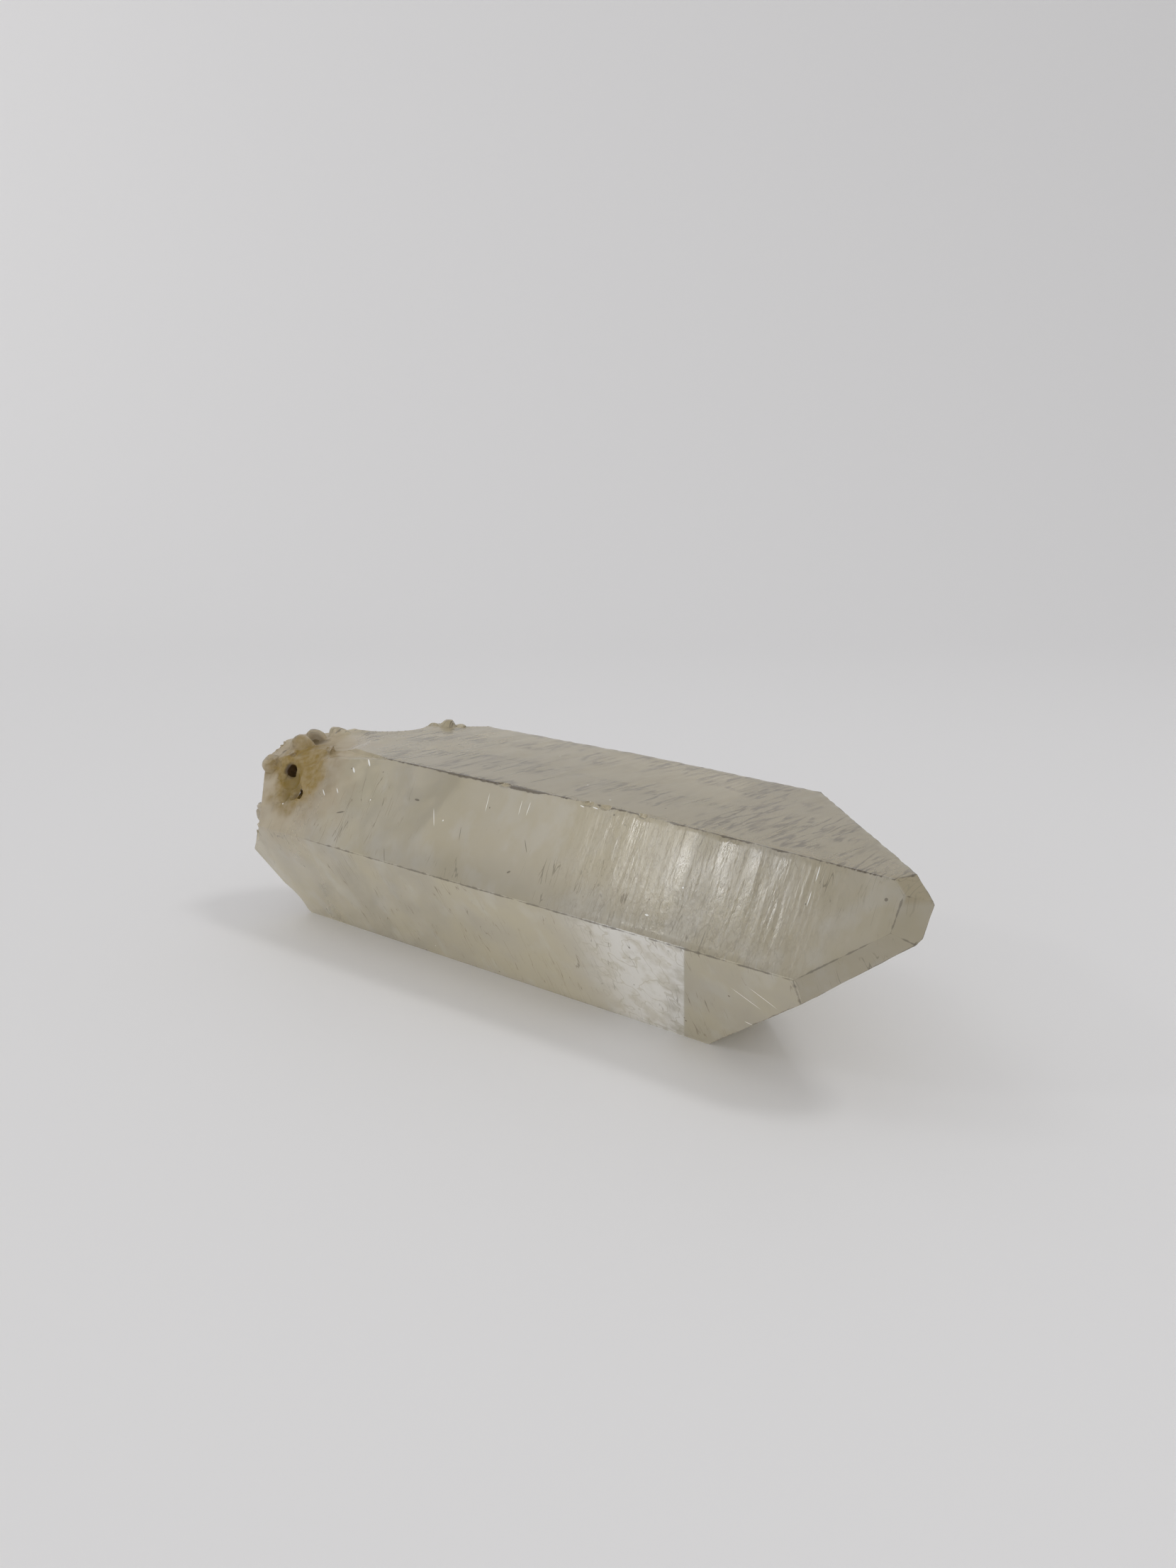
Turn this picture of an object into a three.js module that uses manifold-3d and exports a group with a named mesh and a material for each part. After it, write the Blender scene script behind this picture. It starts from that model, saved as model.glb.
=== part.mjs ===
// A quartz point, 160 mm long: one crystal with six prism faces and six rhombohedral tip faces,
// broken from its rock at the other end. It lies on its widest prism face.
//
// Millimetres. X is the crystal's long axis and points to the tip, Z is up, Y runs from front to back.
// The crystal is worked out round a point on its axis. At the end it is moved so that the middle
// of its box, on the resting face, is the origin.
import * as THREE from "three";
import { mergeVertices } from "three/addons/utils/BufferGeometryUtils.js";
import Module from "manifold-3d";

const wasm = await Module();
wasm.setup();

// ---- Driving dimensions ----

const BLOCK = 260; // edge of the raw block that the faces are cut from

// Each face is flat. turn: degrees round the long axis, from the back (+Y) over the top (+Z).
// lean: degrees from the tip's direction to the way the face looks, 90 on a true prism face.
// out: how far the face lies from the axis point. middle: its middle line, across the face.
const PRISM_FACES = {
  top: { turn: 89.1, lean: 89.2, out: 20.5, middle: 1 },
  topNearTip: { turn: 88.3, lean: 87.8, out: 19.75, middle: 2 },
  frontUpper: { turn: 149.6, lean: 89.05, out: 27.8, middle: 2.7 },
  frontLower: { turn: 209.3, lean: 89.7, out: 25.55, middle: -4.8 },
  bottom: { turn: 270, lean: 90, out: 20.8, middle: 1 },
  backLower: { turn: 330, lean: 90, out: 29.6, middle: 3.8 },
  backUpper: { turn: 29.8, lean: 89.75, out: 27.5, middle: -5 },
};

// The tip faces lean about 52 degrees to the axis. The one over the front is small and blunt.
const TIP_FACES = {
  tipBack: { turn: 30.2, lean: 49.4, out: 21.0 },
  tipTop: { turn: 100.3, lean: 52.8, out: 39.0 },
  tipFront: { turn: 155.1, lean: 32.1, out: 45.8 },
  tipFrontLower: { turn: 209.4, lean: 54.0, out: 34.45 },
  tipBottom: { turn: 270.6, lean: 52.8, out: 16.45 },
  tipBackLower: { turn: 330, lean: 51.8, out: 8.7 },
  tipChip: { turn: 323.2, lean: 30.4, out: 23.6 },
  tipChipUnder: { turn: 286.4, lean: 41.5, out: 20.0 },
};

// The break at the base: a few main planes, roughened further below.
const BREAK_FACES = {
  breakEnd: { turn: 8, lean: 167, out: 112.2 },
  breakFront: { turn: 167, lean: 125.5, out: 91.2 },
  breakUnder: { turn: 282, lean: 158, out: 111.2 },
  breakBack: { turn: 12, lean: 143, out: 88.6 },
  breakTopEdge: { turn: 121, lean: 93.4, out: 34.2 },
};

// Growth lines that run across a prism face. from, to: the stretch along the axis. reach: how far
// from the face's middle line they start, on either side. long, wide, deep: the range of sizes.
const FINE_LINE = { wide: [0.5, 1], deep: [0.08, 0.18] };
const STRONG_LINE = { wide: [0.6, 1.3], deep: [0.1, 0.25] };
const GROWTH_LINES = [
  { ...STRONG_LINE, face: "frontUpper", count: 38, from: -40, to: 24, reach: 7, long: [6, 15] },
  { ...FINE_LINE, face: "frontUpper", count: 10, from: -98, to: -40, reach: 7, long: [5, 12] },
  { ...FINE_LINE, face: "top", count: 12, from: -80, to: -14, reach: 15, long: [7, 20] },
  { ...FINE_LINE, face: "topNearTip", count: 12, from: -12, to: 24, reach: 11, long: [6, 16] },
  { ...FINE_LINE, face: "frontLower", count: 10, from: -104, to: 2, reach: 9, long: [5, 14] },
  { ...STRONG_LINE, face: "backUpper", count: 22, from: -80, to: -8, reach: 8, long: [7, 17] },
  { ...STRONG_LINE, face: "backLower", count: 15, from: -84, to: -28, reach: 6, long: [6, 14] },
];

// Etched pits, a few to a face.
const PIT = { wide: [0.5, 1.2], deep: [0.14, 0.3] };
const ETCH_PITS = [
  { ...PIT, face: "frontUpper", count: 13, from: -30, to: 24, reach: 8 },
  { ...PIT, face: "frontUpper", count: 6, from: -98, to: -30, reach: 8 },
  { ...PIT, face: "top", count: 6, from: -80, to: -16, reach: 15 },
  { ...PIT, face: "topNearTip", count: 6, from: -8, to: 22, reach: 11 },
  { ...PIT, face: "frontLower", count: 8, from: -104, to: 0, reach: 10 },
  { ...PIT, face: "backUpper", count: 8, from: -78, to: -6, reach: 9 },
  { ...PIT, face: "backLower", count: 6, from: -80, to: -28, reach: 7 },
];

// Growth ledges: thin plates that rise slowly out of a face and end in a step. along, across: the
// plate's middle. wide, long: its size. high: the step, which looks to the tip, or to the base
// where high is negative.
const LEDGES = [
  { face: "top", along: -66, across: 4, wide: 26, long: 34, high: 0.3 },
  { face: "top", along: -38, across: -4, wide: 22, long: 30, high: -0.32 },
  { face: "topNearTip", along: 0, across: 1, wide: 22, long: 18, high: 0.32 },
  { face: "topNearTip", along: 14, across: 9, wide: 14, long: 13, high: 0.28 },
  { face: "frontUpper", along: -72, across: 2.7, wide: 16, long: 34, high: -0.26 },
  { face: "frontUpper", along: -33, across: 3.4, wide: 16, long: 22, high: 0.3 },
  { face: "frontUpper", along: -4, across: 2, wide: 14, long: 18, high: 0.3 },
  { face: "frontUpper", along: 18, across: 3.4, wide: 12, long: 14, high: -0.3 },
  { face: "frontLower", along: -82, across: -4.8, wide: 20, long: 32, high: 0.24 },
  { face: "frontLower", along: -36, across: -4, wide: 18, long: 26, high: -0.24 },
  { face: "backUpper", along: -56, across: -5, wide: 20, long: 30, high: 0.36 },
  { face: "backUpper", along: -22, across: -6, wide: 17, long: 22, high: 0.34 },
  { face: "backLower", along: -72, across: 4, wide: 15, long: 24, high: -0.34 },
  { face: "backLower", along: -46, across: 4, wide: 14, long: 20, high: 0.34 },
  { face: "tipBack", along: 12, across: 13, wide: 11, long: 18, high: 0.34 },
  { face: "tipBottom", along: 8, across: -14, wide: 18, long: 20, high: 0.34 },
  { face: "tipBackLower", along: -8, across: 2, wide: 24, long: 30, high: 0.42 },
  { face: "tipBackLower", along: 16, across: 7, wide: 15, long: 18, high: -0.36 },
];

const LEDGE_PROUD = 0.3; // the most that a ledge stands out at an edge

// Edges with small chips knocked out of them. spacing: the usual run from one chip to the next.
const SMALL_CHIP = { long: [1.8, 4.5], deep: [0.2, 0.45] };
const LARGE_CHIP = { long: [2.2, 6.2], deep: [0.28, 0.7] };
const CHIP_WIDE = [1.6, 3];
const CHIPPED_EDGES = [
  { ...LARGE_CHIP, faces: ["top", "frontUpper"], from: -82, to: -14, spacing: 4.2 },
  { ...LARGE_CHIP, faces: ["topNearTip", "frontUpper"], from: -14, to: 34, spacing: 4.6 },
  { ...SMALL_CHIP, faces: ["frontUpper", "frontLower"], from: -106, to: 22, spacing: 8 },
  { ...SMALL_CHIP, faces: ["frontUpper", "tipFrontLower"], from: 25, to: 36, spacing: 4 },
  { ...LARGE_CHIP, faces: ["top", "backUpper"], from: -88, to: -20, spacing: 9 },
  { ...LARGE_CHIP, faces: ["backUpper", "backLower"], from: -72, to: -30, spacing: 7 },
  { ...LARGE_CHIP, faces: ["backUpper", "tipBackLower"], from: -22, to: -2, spacing: 7 },
  { ...SMALL_CHIP, faces: ["tipBack", "tipBackLower"], from: 4, to: 38, spacing: 7 },
  { ...SMALL_CHIP, faces: ["frontLower", "bottom"], from: -108, to: -4, spacing: 12 },
  { ...SMALL_CHIP, faces: ["topNearTip", "tipBack"], from: 3, to: 35, spacing: 5 },
];

// Shell-shaped scars that cover the break. middle: of the scattered stretch, along and across the
// face. spread: how far they lie from it. wide: their diameters. deep: how far they reach in.
const BREAK_SCARS = [
  { face: "breakEnd", count: 6, middle: [-42, 8], spread: [9, 15], wide: [14, 22], deep: [1.3, 2.8] },
  { face: "breakBack", count: 11, middle: [-55, 0], spread: [20, 20], wide: [16, 28], deep: [1.5, 3.4] },
  { face: "breakUnder", count: 5, middle: [-34, -15], spread: [9, 11], wide: [12, 19], deep: [1, 2.2] },
  { face: "breakFront", count: 2, middle: [-79, 0], spread: [4, 8], wide: [7, 11], deep: [0.5, 1] },
];

// Three scars that stand alone: the wide smooth one in the top front corner, the notch in the
// top's edge, and the one that blunts the front corner. at: the middle. faces: the way it looks.
const LONE_SCARS = [
  { at: [-109, -22, 21.9], faces: [-0.03, -0.05, 1], wide: 50, deep: 1.5, rings: 3 },
  { at: [-104, 1, 22], faces: [-0.5, 0.45, 0.75], wide: 15, deep: 2.2, rings: 2 },
  { at: [-116, -32.5, 4], faces: [-0.75, -0.6, 0.3], wide: 13, deep: 1.2, rings: 2 },
];

// Angular grains of the old rock, grown into the broken end. at: the middle. size: half lengths.
const GRAINS = [
  { at: [-115.4, -24.8, 16.8], size: [2.2, 1.9, 2.1] },
  { at: [-112.6, -18.6, 19.6], size: [3.6, 3.2, 3.2] },
  { at: [-113.6, -11.8, 20.6], size: [2.8, 3.4, 2.6] },
  { at: [-110.4, -14.6, 20.2], size: [3, 2.6, 2.4] },
  { at: [-114.4, -28, 6.4], size: [2.6, 2.2, 2.8] },
  { at: [-96.8, 13.2, 20.7], size: [2.6, 1.9, 2.1] },
  { at: [-115.2, -17, 13], size: [3, 4, 3.4] },
  { at: [-114.4, -9, 9.6], size: [3.4, 4.4, 4] },
  { at: [-115.6, -15.4, -4], size: [3, 4, 3.6] },
  { at: [-112.4, -4.6, -10], size: [3, 4.2, 3.4] },
  { at: [-109.6, 2.6, 12], size: [3.2, 3.8, 3.4] },
  { at: [-107.4, 5.6, -1], size: [3.4, 4.2, 3.8] },
  { at: [-101.6, 12, 8], size: [3, 3.8, 3.2] },
];

// The stained pocket near the broken end: a patch of small grains on the upper front face, with
// hollows eaten into it. along, across: place on the face. sunk: how deep the middles lie.
const POCKET_GRAINS = { count: 17, along: [-115, -101], across: [-7.5, 7], size: [1.7, 3.1], sunk: [1, 1.9] };
const POCKET_HOLLOWS = [
  { along: -108.4, across: -0.8, wide: 6.6, deep: 2.6 },
  { along: -103.8, across: 3.4, wide: 5, deep: 1.7 },
  { along: -105.4, across: -5, wide: 5.4, deep: 1.3 },
  { along: -110.6, across: 4.6, wide: 5, deep: 1.3 },
];

// The worn stretch of the top front edge.
const RIDGE_DIP = { from: -66, to: -44, wide: 5, deep: 0.55 };

const BODY_COLOUR = 0xb3aa98; // warm grey beige
const BODY_ROUGHNESS = 0.28;

// ---- Chance, the same on every run ----

function makeRandom(seed) {
  let state = seed;
  return () => {
    state = (state * 1664525 + 1013904223) % 4294967296;
    return state / 4294967296;
  };
}

const random = makeRandom(20);

function between([low, high]) {
  return low + (high - low) * random();
}

// ---- Faces and their frames ----

// The way a face looks out, the way across it, and the way up it towards the tip.
function faceFrame({ turn, lean, out }) {
  const round = THREE.MathUtils.degToRad(turn);
  const tilt = THREE.MathUtils.degToRad(lean);
  const normal = new THREE.Vector3(
    Math.cos(tilt),
    Math.sin(tilt) * Math.cos(round),
    Math.sin(tilt) * Math.sin(round),
  );
  const across = new THREE.Vector3(0, -Math.sin(round), Math.cos(round));
  const along = new THREE.Vector3().crossVectors(normal, across);
  return { normal, across, along, out };
}

const frames = {};
for (const [name, face] of Object.entries({ ...PRISM_FACES, ...TIP_FACES, ...BREAK_FACES })) {
  frames[name] = faceFrame(face);
}

function pointOnFace(name, along, across) {
  const frame = frames[name];
  return new THREE.Vector3()
    .addScaledVector(frame.normal, frame.out)
    .addScaledVector(frame.along, along)
    .addScaledVector(frame.across, across);
}

// A matrix that sets a tool on a face: its X runs across, its Y along, and its Z points out.
function onFace(name, along, across, spin = 0) {
  const frame = frames[name];
  return new THREE.Matrix4()
    .makeBasis(frame.across, frame.along, frame.normal)
    .setPosition(pointOnFace(name, along, across))
    .multiply(new THREE.Matrix4().makeRotationZ(spin));
}

// A matrix that sets a tool at a point with its Z along a direction.
function facing(at, direction, spin = 0) {
  const outward = direction.clone().normalize();
  const turn = new THREE.Quaternion().setFromUnitVectors(new THREE.Vector3(0, 0, 1), outward);
  return new THREE.Matrix4()
    .makeRotationFromQuaternion(turn)
    .setPosition(at)
    .multiply(new THREE.Matrix4().makeRotationZ(spin));
}

// ---- Solids ----

function toSolid(geometry) {
  const bare = geometry.clone();
  bare.deleteAttribute("normal");
  bare.deleteAttribute("uv");
  const merged = mergeVertices(bare, 1e-4);
  return new wasm.Manifold(
    new wasm.Mesh({
      numProp: 3,
      vertProperties: new Float32Array(merged.attributes.position.array),
      triVerts: new Uint32Array(merged.index.array),
    }),
  );
}

// Moves every corner of a closed shape a little, so that it looks broken and not turned.
function roughen(geometry, amount) {
  const bare = geometry.clone();
  bare.deleteAttribute("normal");
  bare.deleteAttribute("uv");
  const merged = mergeVertices(bare, 1e-4);
  const places = merged.attributes.position;
  for (let i = 0; i < places.count; i++) {
    const [x, y, z] = [0, 1, 2].map(() => (random() * 2 - 1) * amount);
    places.setXYZ(i, places.getX(i) + x, places.getY(i) + y, places.getZ(i) + z);
  }
  return merged;
}

// A slender tool that tapers to both ends: it cuts one growth line or one chip.
function spindle(wide, long, deep, matrix) {
  const geometry = new THREE.OctahedronGeometry(1);
  geometry.scale(wide / 2, long / 2, deep);
  return toSolid(geometry.applyMatrix4(matrix));
}

// A shallow bowl that cuts a rippled scar or a hollow. Its rim lies in the plane Z = 0.
function bowl({ wide, deep, rings, sides, rough }, matrix) {
  const RIM_RISE = 3;
  const RIPPLE = 0.06;
  const profile = [];
  for (let i = 0; i <= rings * 2; i++) {
    const share = i / (rings * 2);
    const floor = share * share - 1 - RIPPLE * (i % 2);
    profile.push(new THREE.Vector2((wide / 2) * share, deep * floor));
  }
  profile.push(new THREE.Vector2(wide / 2 + RIM_RISE / 2, RIM_RISE));
  profile.push(new THREE.Vector2(0, RIM_RISE));
  const geometry = new THREE.LatheGeometry(profile, sides);
  geometry.rotateX(Math.PI / 2);
  return toSolid(roughen(geometry, rough).applyMatrix4(matrix));
}

// A thin plate, tilted a little so that only its raised end stands out of the face.
function ledge({ face, along, across, wide, long, high }) {
  const THICK = 1.2;
  const CORNERS = 9;
  const geometry = new THREE.CylinderGeometry(0.485, 0.5, 1, CORNERS);
  geometry.rotateX(Math.PI / 2);
  geometry.rotateZ(random() * Math.PI);
  const plate = roughen(geometry, 0.05);
  plate.scale(wide, long, THICK);
  plate.translate(0, 0, -THICK / 2);
  plate.rotateX(Math.atan2(high, long / 2));
  return toSolid(plate.applyMatrix4(onFace(face, along, across)));
}

// An angular lump.
function grain({ at, size }) {
  const rough = roughen(new THREE.IcosahedronGeometry(1, 0), 0.2);
  rough.rotateX(random() * Math.PI);
  rough.rotateZ(random() * Math.PI);
  rough.scale(...size);
  return toSolid(rough.translate(...at));
}

// The grains that fill the stained patch.
function pocketGrains() {
  const { count, along, across, size, sunk } = POCKET_GRAINS;
  return Array.from({ length: count }, () => {
    const middle = pointOnFace("frontUpper", between(along), between(across));
    middle.addScaledVector(frames.frontUpper.normal, -between(sunk));
    return grain({ at: middle.toArray(), size: [between(size), between(size), between(size)] });
  });
}

// ---- The whole crystal ----

// The faces' flat-sided form. proud moves every face out by that much.
function cutBlock(proud) {
  let block = toSolid(new THREE.BoxGeometry(BLOCK, BLOCK, BLOCK));
  for (const { normal, out } of Object.values(frames)) {
    block = block.trimByPlane([-normal.x, -normal.y, -normal.z], -out - proud);
  }
  return block;
}

function growthLines() {
  const MOST_SLANT = 0.1;
  return GROWTH_LINES.flatMap(({ face, count, from, to, reach, long, wide, deep }) =>
    Array.from({ length: count }, (_, i) => {
      const along = from + ((to - from) * (i + random())) / count;
      const across = PRISM_FACES[face].middle + (random() * 2 - 1) * reach;
      const spin = Math.PI / 2 + (random() * 2 - 1) * MOST_SLANT;
      return spindle(between(wide), between(long), between(deep), onFace(face, along, across, spin));
    }),
  );
}

function etchPits() {
  return ETCH_PITS.flatMap(({ face, count, from, to, reach, wide, deep }) =>
    Array.from({ length: count }, () => {
      const along = from + (to - from) * random();
      const across = PRISM_FACES[face].middle + (random() * 2 - 1) * reach;
      const size = between(wide);
      return spindle(size, size * 1.5, between(deep), onFace(face, along, across, random() * Math.PI));
    }),
  );
}

// Where two faces meet: a point on the edge at a given place along the axis, and its direction.
function edgeAt([first, second], along) {
  const a = frames[first];
  const b = frames[second];
  const plane = new THREE.Matrix3().set(
    a.normal.x, a.normal.y, a.normal.z,
    b.normal.x, b.normal.y, b.normal.z,
    1, 0, 0,
  );
  const point = new THREE.Vector3(a.out, b.out, along).applyMatrix3(plane.invert());
  const direction = new THREE.Vector3().crossVectors(a.normal, b.normal).normalize();
  const outward = new THREE.Vector3().addVectors(a.normal, b.normal).normalize();
  return { point, direction, outward };
}

function edgeChips() {
  return CHIPPED_EDGES.flatMap(({ faces, from, to, spacing, long, deep }) => {
    const chips = [];
    for (let along = from; along < to; along += spacing * between([0.5, 1.5])) {
      const { point, direction, outward } = edgeAt(faces, along);
      const side = new THREE.Vector3().crossVectors(direction, outward);
      const matrix = new THREE.Matrix4()
        .makeBasis(side, direction, outward)
        .setPosition(point)
        .multiply(new THREE.Matrix4().makeRotationZ(between([-0.15, 0.15])));
      chips.push(spindle(between(CHIP_WIDE), between(long), between(deep), matrix));
    }
    return chips;
  });
}

// The long shallow dip that wear has left in the top front edge.
function ridgeDip() {
  const { from, to, wide, deep } = RIDGE_DIP;
  const { point, direction, outward } = edgeAt(["top", "frontUpper"], (from + to) / 2);
  const side = new THREE.Vector3().crossVectors(direction, outward);
  const matrix = new THREE.Matrix4().makeBasis(side, direction, outward).setPosition(point);
  return spindle(wide, to - from, deep, matrix);
}

function breakScars() {
  return BREAK_SCARS.flatMap(({ face, count, middle, spread, wide, deep }) =>
    Array.from({ length: count }, () => {
      const along = middle[0] + (random() * 2 - 1) * spread[0];
      const across = middle[1] + (random() * 2 - 1) * spread[1];
      const scar = { wide: between(wide), deep: between(deep), rings: 2, sides: 8, rough: 0.22 };
      return bowl(scar, onFace(face, along, across, random() * Math.PI));
    }),
  );
}

function loneScars() {
  return LONE_SCARS.map(({ at, faces, wide, deep, rings }) => {
    const matrix = facing(new THREE.Vector3(...at), new THREE.Vector3(...faces), random() * Math.PI);
    return bowl({ wide, deep, rings, sides: 11, rough: 0.16 }, matrix);
  });
}

function pocketHollows() {
  return POCKET_HOLLOWS.map(({ along, across, wide, deep }) =>
    bowl({ wide, deep, rings: 2, sides: 9, rough: 0.24 }, onFace("frontUpper", along, across, random())),
  );
}

// Keeps the crystal itself and drops any splinter that the cuts have freed.
function largest(solid) {
  return solid.decompose().reduce((best, next) => (next.volume() > best.volume() ? next : best));
}

function growCrystal() {
  const broken = cutBlock(0).subtract(wasm.Manifold.union([...breakScars(), ...loneScars()]));
  const ledges = wasm.Manifold.union(LEDGES.map(ledge)).intersect(cutBlock(LEDGE_PROUD));
  const grown = broken.add(ledges).add(wasm.Manifold.union([...GRAINS.map(grain), ...pocketGrains()]));
  const cuts = [...growthLines(), ...etchPits(), ...edgeChips(), ...pocketHollows(), ridgeDip()];
  const worn = grown.subtract(wasm.Manifold.union(cuts));
  return largest(worn.trimByPlane([0, 0, 1], -PRISM_FACES.bottom.out));
}

function toGeometry(solid) {
  const mesh = solid.getMesh();
  const geometry = new THREE.BufferGeometry();
  geometry.setAttribute("position", new THREE.BufferAttribute(mesh.vertProperties, 3));
  geometry.setIndex(new THREE.BufferAttribute(mesh.triVerts, 1));
  return geometry;
}

// Puts the origin at the middle of the box, on the resting face.
function standOnOrigin(geometry) {
  geometry.computeBoundingBox();
  const { min, max } = geometry.boundingBox;
  return geometry.translate(-(min.x + max.x) / 2, -(min.y + max.y) / 2, -min.z);
}

const clearQuartz = new THREE.MeshStandardMaterial({
  color: BODY_COLOUR,
  roughness: BODY_ROUGHNESS,
  metalness: 0,
  flatShading: true,
});

const crystal = new THREE.Mesh(standOnOrigin(toGeometry(growCrystal())), clearQuartz);
crystal.name = "crystal";

const part = new THREE.Group();
part.add(crystal);

export default part;
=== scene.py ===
import math
import random

import bpy
from mathutils import Matrix, Vector


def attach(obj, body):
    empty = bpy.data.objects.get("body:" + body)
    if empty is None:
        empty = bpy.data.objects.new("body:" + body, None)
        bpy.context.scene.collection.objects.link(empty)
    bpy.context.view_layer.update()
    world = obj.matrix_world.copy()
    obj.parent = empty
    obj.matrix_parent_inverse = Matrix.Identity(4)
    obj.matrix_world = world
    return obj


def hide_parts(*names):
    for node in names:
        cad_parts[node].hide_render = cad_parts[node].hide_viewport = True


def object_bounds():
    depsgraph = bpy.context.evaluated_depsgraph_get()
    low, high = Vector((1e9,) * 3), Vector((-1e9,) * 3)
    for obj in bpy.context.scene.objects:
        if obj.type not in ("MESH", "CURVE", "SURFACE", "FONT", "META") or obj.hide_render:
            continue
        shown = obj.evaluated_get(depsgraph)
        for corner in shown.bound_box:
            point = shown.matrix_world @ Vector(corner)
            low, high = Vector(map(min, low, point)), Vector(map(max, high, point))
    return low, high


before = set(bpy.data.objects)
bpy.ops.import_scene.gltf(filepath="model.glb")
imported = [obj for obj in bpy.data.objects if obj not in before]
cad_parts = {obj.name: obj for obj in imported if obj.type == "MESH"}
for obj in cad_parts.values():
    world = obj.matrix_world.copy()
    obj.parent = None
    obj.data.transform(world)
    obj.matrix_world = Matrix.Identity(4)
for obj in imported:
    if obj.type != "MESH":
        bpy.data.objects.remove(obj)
cad_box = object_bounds()

# ---- Crystal: its flat faces ----
# One quartz point, grown as a single crystal: six prism faces along its length and six tip faces.
# The form is cut face by face from a block, in the order in which the faces meet: prism, tip, break.

MM = 0.001
BLOCK_SIZE = 260 * MM
# the point on the long axis that the faces are measured from
AXIS_POINT = Vector((40.175, -0.513, 20.8)) * MM

# Name: turn round the long axis from the back over the top, lean from the tip's direction, both in
# degrees, and distance from the axis point in millimetres.
FACES = {
    "top": (89.1, 89.2, 20.5),
    "topNearTip": (88.3, 87.8, 19.75),
    "frontUpper": (149.6, 89.05, 27.8),
    "frontLower": (209.3, 89.7, 25.55),
    "bottom": (270, 90, 20.8),
    "backLower": (330, 90, 29.6),
    "backUpper": (29.8, 89.75, 27.5),
    "tipBack": (30.2, 49.4, 21.0),
    "tipTop": (100.3, 52.8, 39.0),
    "tipFront": (155.1, 32.1, 45.8),
    "tipFrontLower": (209.4, 54.0, 34.45),
    "tipBottom": (270.6, 52.8, 16.45),
    "tipBackLower": (330, 51.8, 8.7),
    "tipChip": (323.2, 30.4, 23.6),
    "tipChipUnder": (286.4, 41.5, 20.0),
    "breakEnd": (8, 167, 112.2),
    "breakFront": (167, 125.5, 91.2),
    "breakUnder": (282, 158, 111.2),
    "breakBack": (12, 143, 88.6),
    "breakTopEdge": (121, 93.4, 34.2),
    "breakCorner": (0, 180, 120.4),
}


def face_axes(name):
    """The way a face looks out, the way up it towards the tip, and the way across it."""
    turn, lean = (math.radians(angle) for angle in FACES[name][:2])
    out = Vector((math.cos(lean), math.sin(lean) * math.cos(turn), math.sin(lean) * math.sin(turn)))
    across = Vector((0, -math.sin(turn), math.cos(turn)))
    return out, out.cross(across), across


def on_face(name, along, across, proud=0):
    """A point on a face, from millimetres along and across it, in the part's frame."""
    out, up, side = face_axes(name)
    return AXIS_POINT + (out * (FACES[name][2] + proud) + up * along + side * across) * MM


def select_only(piece):
    bpy.ops.object.select_all(action="DESELECT")
    piece.select_set(True)
    bpy.context.view_layer.objects.active = piece


bpy.ops.object.select_all(action="DESELECT")
bpy.ops.mesh.primitive_cube_add(size=BLOCK_SIZE, location=AXIS_POINT)
crystal = bpy.context.object
crystal.name = "quartz_point"
bpy.ops.object.mode_set(mode="EDIT")
for face in FACES:
    middle = on_face(face, 0, 0)
    outward = face_axes(face)[0]
    bpy.ops.mesh.select_all(action="SELECT")
    bpy.ops.mesh.bisect(plane_co=middle, plane_no=outward, use_fill=True, clear_outer=True)
bpy.ops.object.mode_set(mode="OBJECT")
bpy.ops.object.transform_apply(location=True, rotation=True, scale=True)

# ---- Crystal: the break ----
# The base was snapped off the rock. Shell-shaped scars cover it, with sharp ridges between them,
# one wide smooth scar takes off the top front corner, and the tip has a few small chips.

chance = random.Random(11)
BALL_RISE = 1.7  # how far a carving ball's middle stands out of the face, in depths of the bowl
NARROWEST = 0.7  # the narrow way across a scar, against its width


def carve(tool, operation):
    """Joins a tool to the crystal or cuts it away, and removes the tool."""
    select_only(crystal)
    bpy.ops.object.modifier_add(type="BOOLEAN")
    modifier = crystal.modifiers[-1]
    modifier.operation = operation
    modifier.object = tool
    modifier.solver = "MANIFOLD"
    bpy.ops.object.modifier_apply(modifier=modifier.name)
    bpy.data.objects.remove(tool)


def cut_scar(middle, outward, wide, deep, fineness=4):
    """Cuts a shallow bowl: an oblate ball sunk so far that its rim and floor have the sizes given."""
    rise = BALL_RISE * deep
    half_height = rise + deep
    radius = wide / 2 / math.sqrt(1 - (rise / half_height) ** 2)
    bpy.ops.mesh.primitive_ico_sphere_add(subdivisions=fineness, radius=1)
    ball = bpy.context.object
    turn = outward.to_track_quat("Z", "Y").to_matrix().to_4x4()
    spin = Matrix.Rotation(chance.uniform(0, math.pi), 4, "Z")
    size = Matrix.Diagonal((radius * MM, radius * MM * chance.uniform(NARROWEST, 1), half_height * MM, 1))
    ball.matrix_world = Matrix.Translation(middle + outward * rise * MM) @ turn @ spin @ size
    carve(ball, "DIFFERENCE")


# face, number, middle along and across, spread along and across, width and depth, low and high
BREAK_SCARS = [
    ("breakEnd", 6, (-42, 8), (9, 15), (14, 22), (1.3, 2.8)),
    ("breakBack", 11, (-55, 0), (20, 20), (16, 28), (1.5, 3.4)),
    ("breakUnder", 5, (-34, -15), (9, 11), (12, 19), (1.0, 2.2)),
    ("breakFront", 2, (-79, 0), (4, 8), (7, 11), (0.5, 1.0)),
]
for face, number, middle, spread, wide, deep in BREAK_SCARS:
    for _ in range(number):
        along = middle[0] + chance.uniform(-1, 1) * spread[0]
        across = middle[1] + chance.uniform(-1, 1) * spread[1]
        outward = face_axes(face)[0]
        cut_scar(on_face(face, along, across), outward, chance.uniform(*wide), chance.uniform(*deep))

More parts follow.
